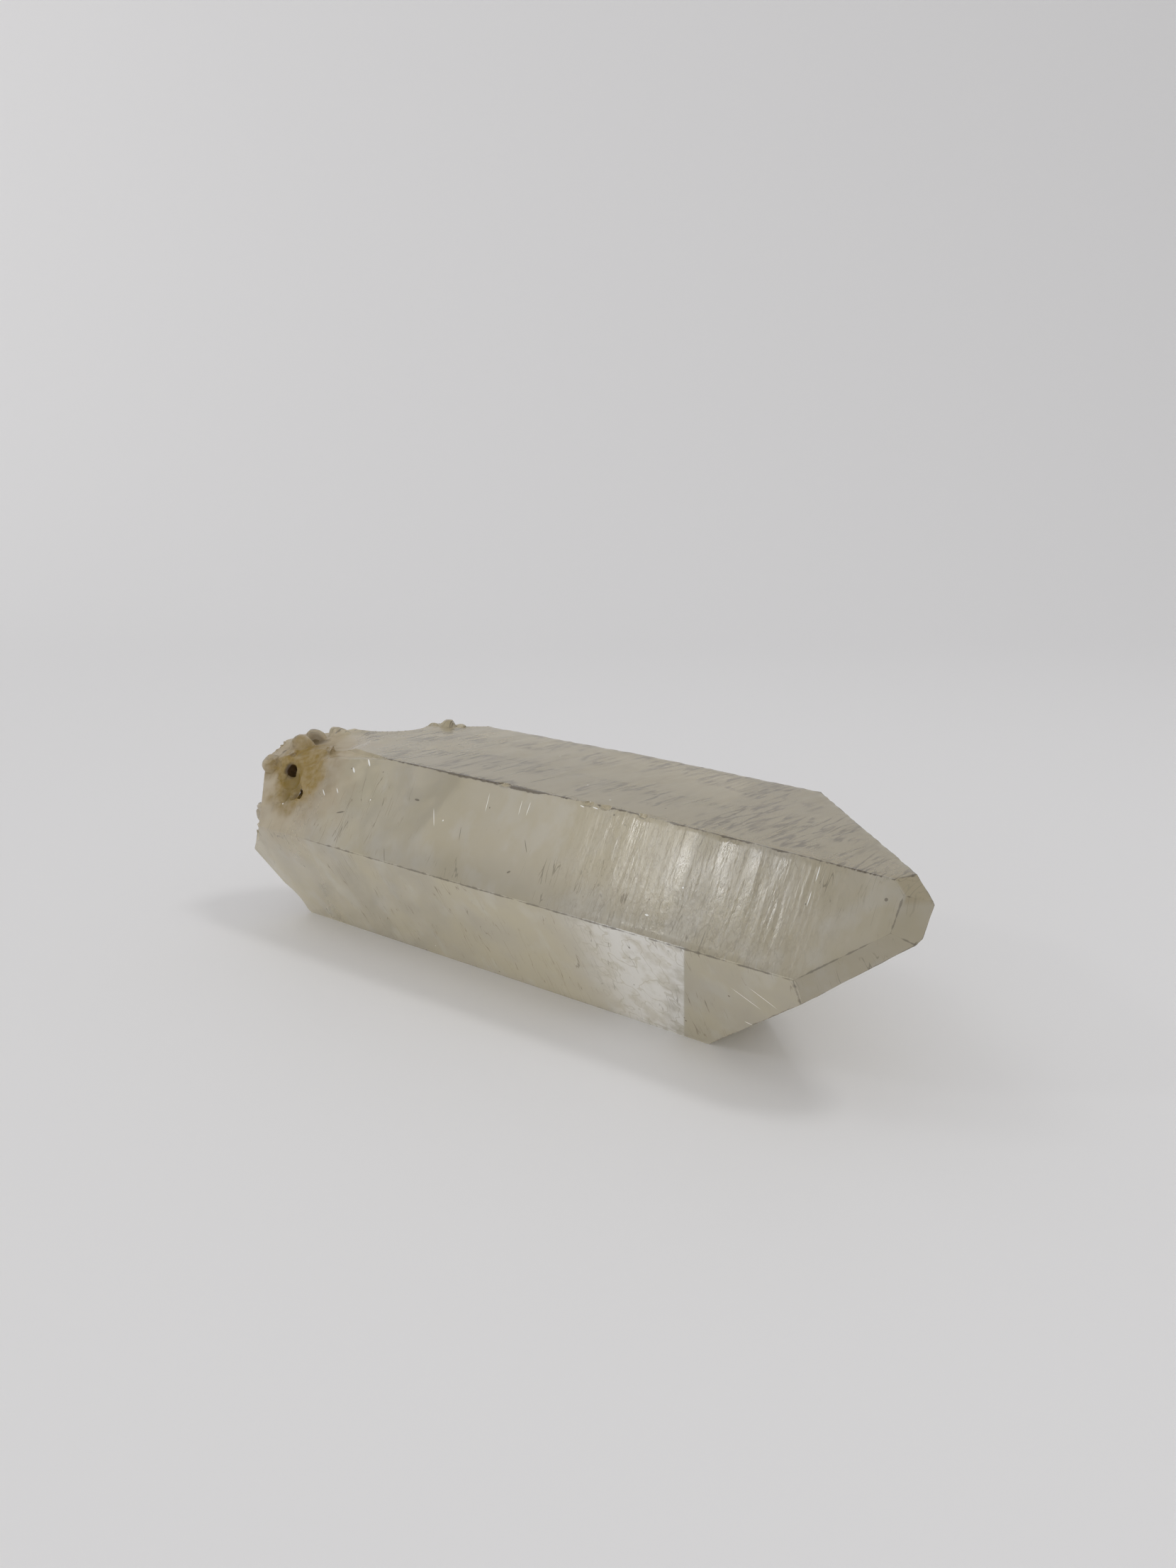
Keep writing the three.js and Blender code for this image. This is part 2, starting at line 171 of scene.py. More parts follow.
# place from the axis point, the way it looks, width, depth, and how fine the carving ball is
LONE_SCARS = [
    ((-109, -22, 21.9), (-0.03, -0.05, 1), 50, 1.5, 5),
    ((-104, 1, 22), (-0.5, 0.45, 0.75), 15, 2.2, 4),
    ((-116, -32.5, 4), (-0.75, -0.6, 0.3), 13, 1.2, 4),
    ((40.4, -9.6, 16.6), (0.7, 0.1, 0.7), 4.6, 0.5, 3),
    ((40.6, -12.6, 10.2), (0.9, 0.2, 0.1), 3.6, 0.4, 3),
    ((38.2, -14.4, 4.2), (0.8, 0, -0.5), 4.0, 0.4, 3),
]
for at, outward, wide, deep, fineness in LONE_SCARS:
    cut_scar(AXIS_POINT + Vector(at) * MM, Vector(outward).normalized(), wide, deep, fineness)

# The top front edge: its y and z beside the axis point, and how far they run off in a millimetre.
EDGE_Y = -20.0
EDGE_Z = 20.78
EDGE_Y_RUN = 0.0142
EDGE_Z_RUN = -0.0085
EDGE_OUTWARD = Vector((0, -0.45, 0.89)).normalized()
# along that edge from the axis point, width and depth
EDGE_CHIPS = [
    (-47, 3.0, 0.3),
    (-26, 2.6, 0.4),
    (-22, 3.0, 0.45),
    (-13.5, 2.6, 0.4),
    (3, 3.4, 0.25),
    (21, 3.0, 0.25),
]
for along, wide, deep in EDGE_CHIPS:
    edge_point = Vector((along, EDGE_Y + EDGE_Y_RUN * along, EDGE_Z + EDGE_Z_RUN * along))
    cut_scar(AXIS_POINT + edge_point * MM, EDGE_OUTWARD, wide, deep, fineness=3)

# ---- Crystal: grains of the old rock ----
# Worn lumps of the rock that the point grew on, still held in the broken base. A patch of them
# at the end of the upper front face has weathered and holds two stained hollows.

UNEVEN = 0.2  # how far a lump's points stray, against its radius
END_ROOM = 0.8  # the least room between a lump of a patch and the end of the crystal's box
SLIMMEST = 0.85  # the least half width of a lump in a patch, against its half length


def grow_grain(middle, half_lengths):
    """Grows an uneven lump into the crystal, with its half lengths in millimetres."""
    bpy.ops.mesh.primitive_ico_sphere_add(subdivisions=2, radius=1)
    lump = bpy.context.object
    bpy.ops.object.mode_set(mode="EDIT")
    bpy.ops.transform.vertex_random(offset=UNEVEN, uniform=0.5, normal=0.5, seed=chance.randrange(1000))
    bpy.ops.mesh.subdivide(number_cuts=2, smoothness=1)
    bpy.ops.object.mode_set(mode="OBJECT")
    turn = Matrix.Rotation(chance.uniform(0, math.pi), 4, "X")
    turn = turn @ Matrix.Rotation(chance.uniform(0, math.pi), 4, "Z")
    size = Matrix.Diagonal((*[n * MM for n in half_lengths], 1))
    lump.matrix_world = Matrix.Translation(middle) @ size @ turn
    carve(lump, "UNION")


# place from the axis point and half lengths
GRAINS = [
    ((-115.6, -24.8, 16.4), (2.0, 1.9, 2.0)),
    ((-111.6, -18.6, 19.4), (3.4, 3.0, 2.9)),
    ((-113.0, -14.8, 20.5), (2.6, 3.0, 2.4)),
    ((-110.0, -8.0, 17.9), (4.6, 6.8, 2.5)),
    ((-114.2, -28.0, 6.4), (2.4, 2.0, 2.6)),
    ((-97.0, 13.4, 20.6), (2.9, 2.2, 2.1)),
    ((-100.2, 12.0, 20.6), (1.9, 1.7, 1.5)),
    ((-94.2, 14.6, 20.5), (1.9, 1.6, 1.5)),
    ((-113.8, -17.0, 13.0), (3.0, 4.0, 3.4)),
    ((-113.4, -9.0, 9.6), (3.4, 4.4, 4.0)),
    ((-114.6, -15.4, -4.0), (3.0, 4.0, 3.6)),
    ((-111.4, -4.6, -10.0), (3.0, 4.2, 3.4)),
    ((-109.0, 2.6, 11.4), (3.2, 3.8, 3.4)),
    ((-106.8, 5.6, -1.0), (3.4, 4.2, 3.8)),
    ((-101.0, 12.0, 8.0), (3.0, 3.8, 3.2)),
]
for at, half_lengths in GRAINS:
    grow_grain(AXIS_POINT + Vector(at) * MM, half_lengths)

# face, number, along and across low and high, radius low and high, how far they stand proud
GRAIN_PATCHES = [
    ("frontUpper", 7, (-113.5, -102), (-5, 8), (1.8, 3.2), (-0.1, 0.4)),
    ("frontUpper", 4, (-101, -94), (-8, 3), (0.8, 1.3), (0.0, 0.2)),
    ("breakEnd", 5, (-52, -30), (-4, 18), (1.8, 3.0), (-1.4, -0.5)),
]
for face, number, along_range, across_range, sizes, proud in GRAIN_PATCHES:
    for _ in range(number):
        radius = chance.uniform(*sizes)
        sunk = chance.uniform(*proud) - radius
        middle = on_face(face, chance.uniform(*along_range), chance.uniform(*across_range), sunk)
        middle.x = max(middle.x, cad_box[0][0] + ((1 + UNEVEN) * radius + END_ROOM) * MM)
        half_width = radius * chance.uniform(SLIMMEST, 1)
        half_depth = radius * chance.uniform(SLIMMEST, 1)
        grow_grain(middle, [radius, half_width, half_depth])

# along and across the upper front face, width and depth: two holes, then the low bowls round them
POCKET_HOLLOWS = [
    (-108.6, -1.1, 3.0, 2.4),
    (-103.3, 3.6, 2.2, 1.6),
    (-107.4, 1.4, 5.4, 0.9),
    (-105.2, 3.4, 4.6, 0.8),
    (-107.9, 4.6, 4.2, 0.7),
    (-104.0, -5.4, 6.5, 0.9),
]
for along, across, wide, deep in POCKET_HOLLOWS:
    middle = on_face("frontUpper", along, across)
    cut_scar(middle, face_axes("frontUpper")[0], wide, deep, fineness=3)

# ---- Crystal: fine surface ----
# Growth and weather have left low steps and lines across the prism faces, a rough break, and worn
# edges. The solid is remeshed to an even fine net, which the relief then moves in or out.

select_only(crystal)
bpy.ops.object.modifier_add(type="REMESH")
remesh = crystal.modifiers[-1]
remesh.mode = "SHARP"
remesh.octree_depth = 8
remesh.scale = 0.86
remesh.sharpness = 1.0
bpy.ops.object.modifier_apply(modifier=remesh.name)

# The net's few pinched points are opened and closed again with plain faces.
bpy.ops.object.mode_set(mode="EDIT")
for _ in range(3):
    bpy.ops.mesh.select_mode(type="VERT")
    bpy.ops.mesh.select_all(action="DESELECT")
    bpy.ops.mesh.select_non_manifold()
    bpy.ops.mesh.delete(type="VERT")
    bpy.ops.mesh.select_all(action="SELECT")
    bpy.ops.mesh.fill_holes(sides=0)
    bpy.ops.mesh.select_mode(type="FACE")
    bpy.ops.mesh.select_all(action="DESELECT")
    bpy.ops.mesh.select_face_by_sides(number=4, type="GREATER")
    bpy.ops.mesh.quads_convert_to_tris()
bpy.ops.mesh.select_all(action="SELECT")
bpy.ops.mesh.delete_loose()
bpy.ops.object.mode_set(mode="OBJECT")

ON_FACE = 0.02  # a point nearer than this to a grown face's plane lies on the face
GROWN_FACES = [name for name in FACES if not name.startswith("break")]
GROWN_PLANES = {name: (FACES[name][2], face_axes(name)[0]) for name in GROWN_FACES}


def depths_at(point):
    """How far a point lies under each grown face, in millimetres, with its name, the least first."""
    place = (point - AXIS_POINT) / MM
    depths = {name: distance - outward.dot(place) for name, (distance, outward) in GROWN_PLANES.items()}
    depths["top"] = min(depths["top"], depths.pop("topNearTip"))
    return sorted((depth, name) for name, depth in depths.items())


bpy.ops.object.mode_set(mode="EDIT")
bpy.ops.mesh.select_mode(type="FACE")
bpy.ops.mesh.select_all(action="DESELECT")
bpy.ops.object.mode_set(mode="OBJECT")
for polygon in crystal.data.polygons:
    polygon.select = depths_at(polygon.center)[0][0] > ON_FACE
bpy.ops.object.mode_set(mode="EDIT")
bpy.ops.mesh.subdivide(number_cuts=1)
bpy.ops.object.mode_set(mode="OBJECT")


def paint_group(name, weight_of):
    """A vertex group whose weights come from a function of each point and its depths under the faces."""
    group = crystal.vertex_groups.new(name=name)
    for vertex, depths in zip(crystal.data.vertices, face_depths):
        weight = weight_of(vertex.co, depths)
        if weight > 0:
            group.add([vertex.index], min(weight, 1), "REPLACE")
    return group.name


def raise_relief(name, group, size, strength, level=1.0, kind="CLOUDS", **settings):
    """Moves the faces in a group by a noise whose grain has the size given, in millimetres."""
    texture = bpy.data.textures.new(name, kind)
    for key, value in settings.items():
        setattr(texture, key, value)
    bpy.ops.object.select_all(action="DESELECT")
    bpy.ops.object.empty_add(location=AXIS_POINT)
    grain_frame = bpy.context.object
    grain_frame.scale = Vector(size) * MM
    select_only(crystal)
    bpy.ops.object.modifier_add(type="DISPLACE")
    relief = crystal.modifiers[-1]
    relief.texture = texture
    relief.texture_coords = "OBJECT"
    relief.texture_coords_object = grain_frame
    relief.vertex_group = group
    relief.strength = strength * MM
    relief.mid_level = level
    bpy.ops.object.modifier_apply(modifier=relief.name)
    bpy.data.objects.remove(grain_frame)


# in millimetres: the strip along an edge that stays sharp, the fade beside it, and the worn strip
EDGE_CLEAR = 0.2
EDGE_FADE = 1.2
EDGE_WIDTH = 0.9
# the etched stretch of the upper front face, along the axis, and how it fades in and out
ETCHED_FROM = -34
ETCHED_TO = 34
ETCHED_RISE = 14
ETCHED_FALL = 18
# the weathered pocket: its middle, its smooth reach, the fade round it, and the roughness left in it
WEATHERED_MIDDLE = Vector((-110, -17, 18))
WEATHERED_REACH = 4
WEATHERED_FADE = 14
WEATHERED_SHARE = 0.25
BREAK_DEPTH = 3  # how deep under the grown faces the break is fully rough
END_FADE = 2  # the break grows smooth this near the end of the crystal's box
face_depths = [depths_at(vertex.co) for vertex in crystal.data.vertices]


def flat_weight(point, depths):
    """The grown faces, less at their edges. The face that the crystal rests on stays flat."""
    if depths[0][0] > ON_FACE or point.z < ON_FACE * MM:
        return 0
    return min((depths[1][0] - EDGE_CLEAR) / EDGE_FADE, 1)


def etched_weight(point, depths):
    """The etched stretch of the upper front face."""
    if depths[0][1] != "frontUpper":
        return 0
    along = (point.x - AXIS_POINT.x) / MM
    stretch = min((along - ETCHED_FROM) / ETCHED_RISE, (ETCHED_TO - along) / ETCHED_FALL, 1)
    return flat_weight(point, depths) * stretch


def edge_weight(point, depths):
    """The worn strip along the edges, most on the edge itself."""
    return 0 if point.z < ON_FACE * MM else 1 - depths[1][0] / EDGE_WIDTH


def broken_weight(point, depths):
    """The break is rough but for the weathered pocket and the outermost corner."""
    from_pocket = ((point - AXIS_POINT) / MM - WEATHERED_MIDDLE).length
    from_end = (point.x - cad_box[0][0]) / MM
    outside_pocket = max((from_pocket - WEATHERED_REACH) / WEATHERED_FADE, WEATHERED_SHARE)
    return (depths[0][0] - ON_FACE) / BREAK_DEPTH * min(outside_pocket, from_end / END_FADE, 1)


flats = paint_group("flats", flat_weight)
etched = paint_group("etched", etched_weight)
edges = paint_group("edges", edge_weight)
broken = paint_group("broken", broken_weight)

# name, group, grain along each axis and height in millimetres, and the noise's level that stays put
raise_relief("steps", flats, (9, 24, 24), 0.07, noise_scale=1.0, noise_depth=1)
raise_relief("etching", etched, (2.2, 11, 11), 0.04, noise_scale=1.0, noise_depth=1)
raise_relief("wear", edges, (2.2, 2.2, 2.2), 0.24, noise_scale=1.0, noise_depth=1)
raise_relief("shells", broken, (8, 8, 8), 1.5, 0.9, "VORONOI", noise_scale=1.0, distance_metric="DISTANCE")
raise_relief("hackle", broken, (5, 5, 5), 2.3, 0.85, noise_scale=1.0, noise_depth=1)
raise_relief("rough_break", broken, (1.7, 1.7, 1.7), 0.28, 0.8, noise_scale=1.0, noise_depth=1)
select_only(crystal)
bpy.ops.object.shade_smooth_by_angle(angle=math.radians(26))

# ---- Crystal: the quartz itself ----
# Clear quartz with a warm smoky tint, a little milky. Iron has stained the weathered pocket ochre,
# and dirt has settled in the edges and etched lines.

quartz = bpy.data.materials.new("clear_quartz")
quartz.use_nodes = True
tree = quartz.node_tree
tree.nodes.clear()


def add(kind, inputs=None, output=0, **settings):
    """A shader node with its settings and inputs, by name or number. Returns one of its outputs."""
    made = tree.nodes.new("ShaderNode" + kind)
    for key, value in settings.items():
        setattr(made, key, value)
    for key, value in (inputs or {}).items():
        if isinstance(value, bpy.types.NodeSocket):
            tree.links.new(value, made.inputs[key])
        else:
            made.inputs[key].default_value = value
    return made.outputs[output]


def maths(operation, first, second=0.0, third=0.0):
    return add("Math", {0: first, 1: second, 2: third}, operation=operation)


def vector_maths(operation, first, second=(0, 0, 0), output=0):
    return add("VectorMath", {0: first, 1: second}, operation=operation, output=output)


def both(first, second):
    """How far two shares hold together."""
    return maths("MULTIPLY", first, second)


def either(first, second):
    """The larger of two shares or sizes."""
    return maths("MAXIMUM", first, second)


def fade(value, start, end, low=0.0, high=1.0):
    """Goes smoothly from low at start to high at end."""
    inputs = {"Value": value, "From Min": start, "From Max": end, "To Min": low, "To Max": high}
    return add("MapRange", inputs, interpolation_type="SMOOTHSTEP")


def blend_colour(share, first, second):
    """Goes from the first colour to the second as the share grows."""
    return add("Mix", {"Factor": share, 6: first, 7: second}, output=2, data_type="RGBA")


def cloud(size, detail=2.0, rough=0.5, offset=(0, 0, 0)):
    """Noise whose grain has the size given along each axis, in millimetres."""
    scaled = add("Mapping", {"Vector": place, "Scale": [1 / n for n in size], "Location": offset})
    return add("TexNoise", {"Vector": scaled, "Scale": 1.0, "Detail": detail, "Roughness": rough})


def hairlines(size, width, offset, detail=1.5):
    """Thin lines where a stretched noise crosses its middle value."""
    crossing = maths("ABSOLUTE", maths("SUBTRACT", cloud(size, detail, 0.5, offset), 0.5))
    return fade(crossing, width, width * 0.3)


# place: millimetres from the axis point
object_place = add("TexCoord", output="Object")
place = add("Mapping", {"Vector": object_place, "Scale": [1 / MM] * 3, "Location": -AXIS_POINT / MM})
along = add("SeparateXYZ", {"Vector": place}, output="X")
upward = add("SeparateXYZ", {"Vector": place}, output="Z")


def depth_node(face):
    """How far a place lies under a face's plane, in millimetres."""
    outward = vector_maths("DOT_PRODUCT", place, face_axes(face)[0], "Value")
    return maths("SUBTRACT", FACES[face][2], outward)


depth = {face: depth_node(face) for face in GROWN_FACES}
depth["top"] = maths("MINIMUM", depth["top"], depth.pop("topNearTip"))
# The depth under the nearest face, and under the next nearest, which is how far off the edge lies.
nearest = depth["top"]
to_edge = 100.0
for face in list(depth)[1:]:
    to_edge = maths("MINIMUM", to_edge, maths("MAXIMUM", nearest, depth[face]))
    nearest = maths("MINIMUM", nearest, depth[face])
rough_part = fade(nearest, 0.35, 0.9)  # the break, which lies deeper than any grown face
SKIN = 0.3  # a place less than this under a face, in millimetres, belongs to it


def near_face(face):
    return maths("LESS_THAN", depth[face], SKIN)


# the top face and what lies just under its plane, but not the upper front face, where painted shade
# darkens the colour
upper_side = both(fade(depth["top"], 4.0, 2.5), fade(depth["frontUpper"], 0.1, 0.7))
# the quartz's own tints, and a darker tint for the painted shade on the top face
BODY = (0.80, 0.745, 0.605, 1)
SMOKY = (0.74, 0.675, 0.495, 1)
PALE = (0.90, 0.88, 0.82, 1)
TOP_PAINTED_SHADE = (0.67, 0.59, 0.40, 1)
# the iron stain, the dirt, and the white of scratches, painted highlights, painted glints and the painted
# light patch
OCHRE = (0.31, 0.197, 0.024, 1)
DEEP_OCHRE = (0.04, 0.018, 0.006, 1)
BROWN = (0.14, 0.085, 0.02, 1)
GOLD = (0.22, 0.145, 0.02, 1)
BLUSH = (0.63, 0.52, 0.355, 1)
DIRT = (0.075, 0.055, 0.035, 1)
GREY_LINE = (0.26, 0.22, 0.16, 1)
WHITE = (0.95, 0.94, 0.90, 1)

patchy = cloud((13, 13, 13), 3)
fine = cloud((1.3, 1.3, 1.3), 3)
ragged = both(maths("SUBTRACT", fine, 0.5), 0.9)

# Dirt in the edges: a ragged dark line on the top front edge, which swells near its middle, and thin
# broken lines elsewhere. All is in millimetres. Each start is where a fade begins and where it is full.
RIDGE_WIDTHS = (0.13, 0.34)
RIDGE_SWELL = 0.32
RIDGE_WIDEST_AT = -50.0
RIDGE_START = (-84.0, -80.0)
EDGE_WIDTHS = (0.1, 0.25)
EDGES_START = (-100.0, -88.0)
LOW_EDGES = (-19.6, -17.0)  # heights: faint below the first, full above the second
ridge_gap = maths("ADD", either(depth["top"], depth["frontUpper"]), both(ragged, 0.7))
from_widest = maths("ABSOLUTE", maths("ADD", along, -RIDGE_WIDEST_AT))
ridge_width = fade(cloud((5, 9, 9), 2), 0.35, 0.65, *RIDGE_WIDTHS)
ridge_width = maths("ADD", ridge_width, fade(from_widest, 17.0, 8.0, 0, RIDGE_SWELL))
ridge_dirt = fade(maths("SUBTRACT", ridge_gap, ridge_width), 0.12, -0.12)
ridge_dirt = both(both(ridge_dirt, fade(along, *RIDGE_START)), 0.85)
edge_width = fade(cloud((4, 4, 4), 2, offset=(3, 1, 7)), 0.36, 0.60, *EDGE_WIDTHS)
edge_gap = maths("ADD", to_edge, both(ragged, 0.6))
edge_dirt = fade(maths("SUBTRACT", edge_gap, edge_width), 0.1, -0.1)
edge_dirt = both(both(edge_dirt, fade(along, *EDGES_START)), fade(upward, *LOW_EDGES, 0.1, 0.72))
dirt = either(ridge_dirt, edge_dirt)

# The etched stretch of the upper front face, with pits at its left end.
ETCHED_START = (-36.0, -8.0)
ETCHED_END = (36.0, 8.0)
PITS_AT = -19.0
PITS_TOP = (16.0, 10.0)  # heights: none above the first, full below the second
etched_part = both(near_face("frontUpper"), both(fade(along, *ETCHED_START), fade(along, *ETCHED_END)))
etch = cloud((0.8, 1.3, 1.3), 4, 0.6, offset=(4, 4, 1))
from_pits = maths("ABSOLUTE", maths("ADD", along, -PITS_AT))
pit_band = both(near_face("frontUpper"), fade(from_pits, 6.0, 2.0))
pits = both(both(fade(etch, 0.62, 0.68), pit_band), both(fade(upward, *PITS_TOP), 0.4))

# Growth lines across the prism faces, dark in loose groups, and pale streaks of painted highlight in the
# etched part.
groups = fade(cloud((15, 15, 15), 2, offset=(5, 5, 2)), 0.40, 0.56)
breaks = fade(cloud((2.2, 5, 5), 2, offset=(1, 7, 3)), 0.46, 0.56)
dark_lines = both(hairlines((1.8, 18, 18), 0.010, (1, 2, 3)), both(groups, breaks))
short_places = both(breaks, either(both(groups, 0.6), etched_part))
short_lines = both(hairlines((1.1, 8, 8), 0.014, (6, 1, 4)), short_places)
top_groups = fade(cloud((12, 12, 12), 2, offset=(1, 4, 6)), 0.42, 0.56)
top_places = both(top_groups, both(near_face("top"), 0.8))
top_lines = both(hairlines((1.6, 14, 14), 0.045, (2, 9, 5), 3), top_places)
dark_lines = either(either(both(dark_lines, 0.6), both(short_lines, 0.3)), top_lines)
crackle = both(hairlines((1.3, 2.6, 2.6), 0.05, (3, 5, 9), 3), etched_part)
painted_highlight_streaks = both(fade(cloud((0.6, 5, 5), 3, 0.6, offset=(8, 3, 5)), 0.58, 0.72), etched_part)

# Specks of dirt and tiny painted glints of light.
speck_place = add("Mapping", {"Vector": place, "Scale": [1 / 3.2] * 3})
speck_gap = add("TexVoronoi", {"Vector": speck_place, "Scale": 1.0})
speck_pick = add("SeparateColor", {"Color": speck_gap.node.outputs["Color"]}, output="Red")
glint_pick = add("SeparateColor", {"Color": speck_gap.node.outputs["Color"]}, output="Green")
specks = both(fade(speck_gap, 0.08, 0.04), maths("GREATER_THAN", speck_pick, 0.80))
glints = both(fade(speck_gap, 0.07, 0.04), maths("GREATER_THAN", glint_pick, 0.94))


def marks_on(face, marks):
    """Fine spindle-shaped marks on a face: along, across, turn in degrees, length and width."""
    run = vector_maths("DOT_PRODUCT", place, face_axes(face)[1], "Value")
    side = vector_maths("DOT_PRODUCT", place, face_axes(face)[2], "Value")
    on_the_face = add("CombineXYZ", {0: run, 1: side})
    found = 0.0
    for mark_along, mark_across, turn, length, width in marks:
        fitted = add(
            "Mapping",
            {
                "Vector": on_the_face,
                "Location": (mark_along, mark_across, 0),
                "Rotation": (0, 0, math.radians(turn)),
                "Scale": (length / 2, width / 2, 1),
            },
            vector_type="TEXTURE",
        )
        found = either(found, fade(vector_maths("LENGTH", fitted, output="Value"), 1.0, 0.6))
    return both(found, near_face(face))


NEEDLE_MARKS = [(12.5, -8.2, 38, 7.5, 0.20), (16.2, -9.7, 40, 7.0, 0.20), (11.1, -1.1, 22, 1.8, 0.24)]
BRIGHT_MARKS = [
    (-62.4, 1.6, 64, 4.6, 0.2),
    (-50.1, -3.8, 83, 4.4, 0.15),
    (-41.7, -4.2, 85, 3.4, 0.15),
    (-39.7, -4.3, 90, 3.2, 0.18),
    (22.0, -4.3, 90, 3.2, 0.2),
    (21.8, 0.1, 91, 3.0, 0.2),
    (-89.6, -4.3, 47, 1.8, 0.6),
    (-85.9, -6.6, 49, 2.4, 0.55),
    (-96.1, 2.0, 44, 2.2, 0.3),
    (-92.2, 0.9, 47, 1.8, 0.3),
    (-27.6, -7.0, 9, 1.2, 0.26),
    (-24.6, -7.2, 7, 1.6, 0.26),
    (-22.3, -7.4, 16, 1.4, 0.3),
    (-6.7, 9.4, 3, 1.0, 0.4),
]
DARK_MARKS = [
    (-72.0, 11.6, 63, 3.8, 0.2),
    (-88.9, 5.3, 162, 2.8, 0.45),
    (-68.5, -1.1, 2, 1.8, 0.6),
    (-54.2, 3.5, 77, 3.8, 0.2),
    (-37.3, 2.8, 58, 3.8, 0.2),
    (-39.2, 8.4, 149, 1.2, 0.5),
    (34.3, -2.6, 30, 0.8, 0.8),
]
TOP_MARKS = [
    (-56.3, 10.9, 87, 10.2, 0.3),
    (-51.9, 12.8, 88, 11.6, 0.3),
    (-44.2, 12.8, 95, 10.0, 0.4),
    (-28.5, 7.9, 92, 13.0, 0.3),
    (-17.6, -23.4, 85, 14.9, 0.35),
    (-12.7, 4.4, 97, 10.1, 0.35),
    (10.4, 6.8, 94, 16.8, 0.35),
    (16.8, 5.6, 102, 12.3, 0.4),
    (22.7, 12.9, 101, 11.1, 0.4),
]
marks = either(marks_on("frontLower", NEEDLE_MARKS), marks_on("frontUpper", BRIGHT_MARKS))
# the white marks, with the painted glints of light among them
marks = either(marks, glints)
dark_marks = either(both(marks_on("frontUpper", DARK_MARKS), 0.8), both(specks, 0.85))
dark_marks = either(dark_marks, both(marks_on("top", TOP_MARKS), fade(breaks, 0.0, 1.0, 0.25, 0.75)))

# A pale patch of painted light on the lower front face, a bright window seen through the crystal. It fades
# in along the axis and ends in a straight border.
PATCH_START = (-30.0, -12.0)
PATCH_BORDER = (2.4, 1.8)
BORDER_SLANT = 0.365  # how far the border runs along the axis in a millimetre upwards
patch_border = maths("SUBTRACT", along, both(upward, BORDER_SLANT))
patch_mottle = fade(cloud((5, 5, 5), 4, 0.6, offset=(2, 2, 6)), 0.34, 0.56, 0.5, 1.0)
patch_veins = both(hairlines((5, 5, 5), 0.02, (4, 8, 2), 2), 0.4)
patch_mottle = both(patch_mottle, maths("SUBTRACT", 1.0, patch_veins))
painted_light_patch = both(fade(patch_border, *PATCH_BORDER), fade(along, *PATCH_START))
painted_light_patch = both(both(painted_light_patch, near_face("frontLower")), patch_mottle)

# The stained pocket: ochre with darker hollows, fading out through a pinkish tan. Spots have a
# middle from the axis point and a radius.
POCKET_MIDDLE = (-106.0, -24.0, 16.2)
# how far from the middle each has faded out, and where it is full
STAIN_REACH = (12.5, 5.0)
BLUSH_REACH = (23.0, 9.0)
HOLLOWS = [((-109.0, -24.2, 15.6), 1.7), ((-103.1, -26.5, 12.0), 0.9)]
BROWN_SPOTS = [
    ((-110.5, -15.5, 20.9), 2.4),
    ((-112.2, -20.6, 20.3), 0.7),
    ((-114.8, -21.4, 18.5), 0.7),
    ((-110.5, -22.7, 18.6), 0.8),
    ((-104.6, -26.4, 10.4), 1.2),
]
GOLD_SPOTS = [((-107.8, -24.6, 14.4), 3.0), ((-106.4, -26.2, 11.4), 3.0)]
to_pocket = vector_maths("DISTANCE", place, POCKET_MIDDLE, "Value")
pocket_noise = both(maths("SUBTRACT", cloud((3.5, 3.5, 3.5), 3, offset=(9, 2, 4)), 0.5), 12.0)
pocket_gap = maths("ADD", to_pocket, pocket_noise)
stain = fade(pocket_gap, *STAIN_REACH)
blush = fade(pocket_gap, *BLUSH_REACH, 0, 0.8)


SPOT_RIM = 1.35  # where a spot has faded out, in radii
SPOT_CORE = 0.6  # how far out it is at its full strength, in radii


def spots(places):
    """Ragged round spots, each with its middle and radius."""
    found = 0.0
    for middle, size in places:
        gap = vector_maths("DISTANCE", place, middle, "Value")
        found = either(found, fade(maths("ADD", gap, ragged), size * SPOT_RIM, size * SPOT_CORE))
    return found


hollow = spots(HOLLOWS)
brown_spots = spots(BROWN_SPOTS)
gold = spots(GOLD_SPOTS)

colour = blend_colour(fade(patchy, 0.35, 0.7, 0, 0.8), BODY, SMOKY)
colour = blend_colour(fade(cloud((6, 9, 9), 3, offset=(7, 7, 1)), 0.50, 0.70, 0, 0.35), colour, PALE)
# painted shade: the top face is made darker and warmer
colour = blend_colour(both(upper_side, 0.88), colour, TOP_PAINTED_SHADE)
# painted light: the bright window on the lower front face, drawn as a pale patch
colour = blend_colour(both(painted_light_patch, 0.9), colour, WHITE)
break_stain = fade(cloud((6, 6, 6), 3, offset=(3, 3, 8)), 0.45, 0.65, 0, 0.7)
colour = blend_colour(both(rough_part, break_stain), colour, BLUSH)
colour = blend_colour(blush, colour, BLUSH)
colour = blend_colour(both(stain, fade(fine, 0.3, 0.7, 1.0, 0.72)), colour, OCHRE)
colour = blend_colour(both(gold, 0.7), colour, GOLD)
colour = blend_colour(both(brown_spots, 0.75), colour, BROWN)
colour = blend_colour(both(hollow, 0.95), colour, DEEP_OCHRE)
# painted highlight: pale streaks in the etched part of the upper front face
colour = blend_colour(both(painted_highlight_streaks, 0.35), colour, WHITE)
colour = blend_colour(both(crackle, 0.2), colour, GREY_LINE)
colour = blend_colour(dark_lines, colour, GREY_LINE)
colour = blend_colour(pits, colour, GREY_LINE)
colour = blend_colour(marks, colour, WHITE)
colour = blend_colour(dark_marks, colour, DIRT)
colour = blend_colour(dirt, colour, DIRT)

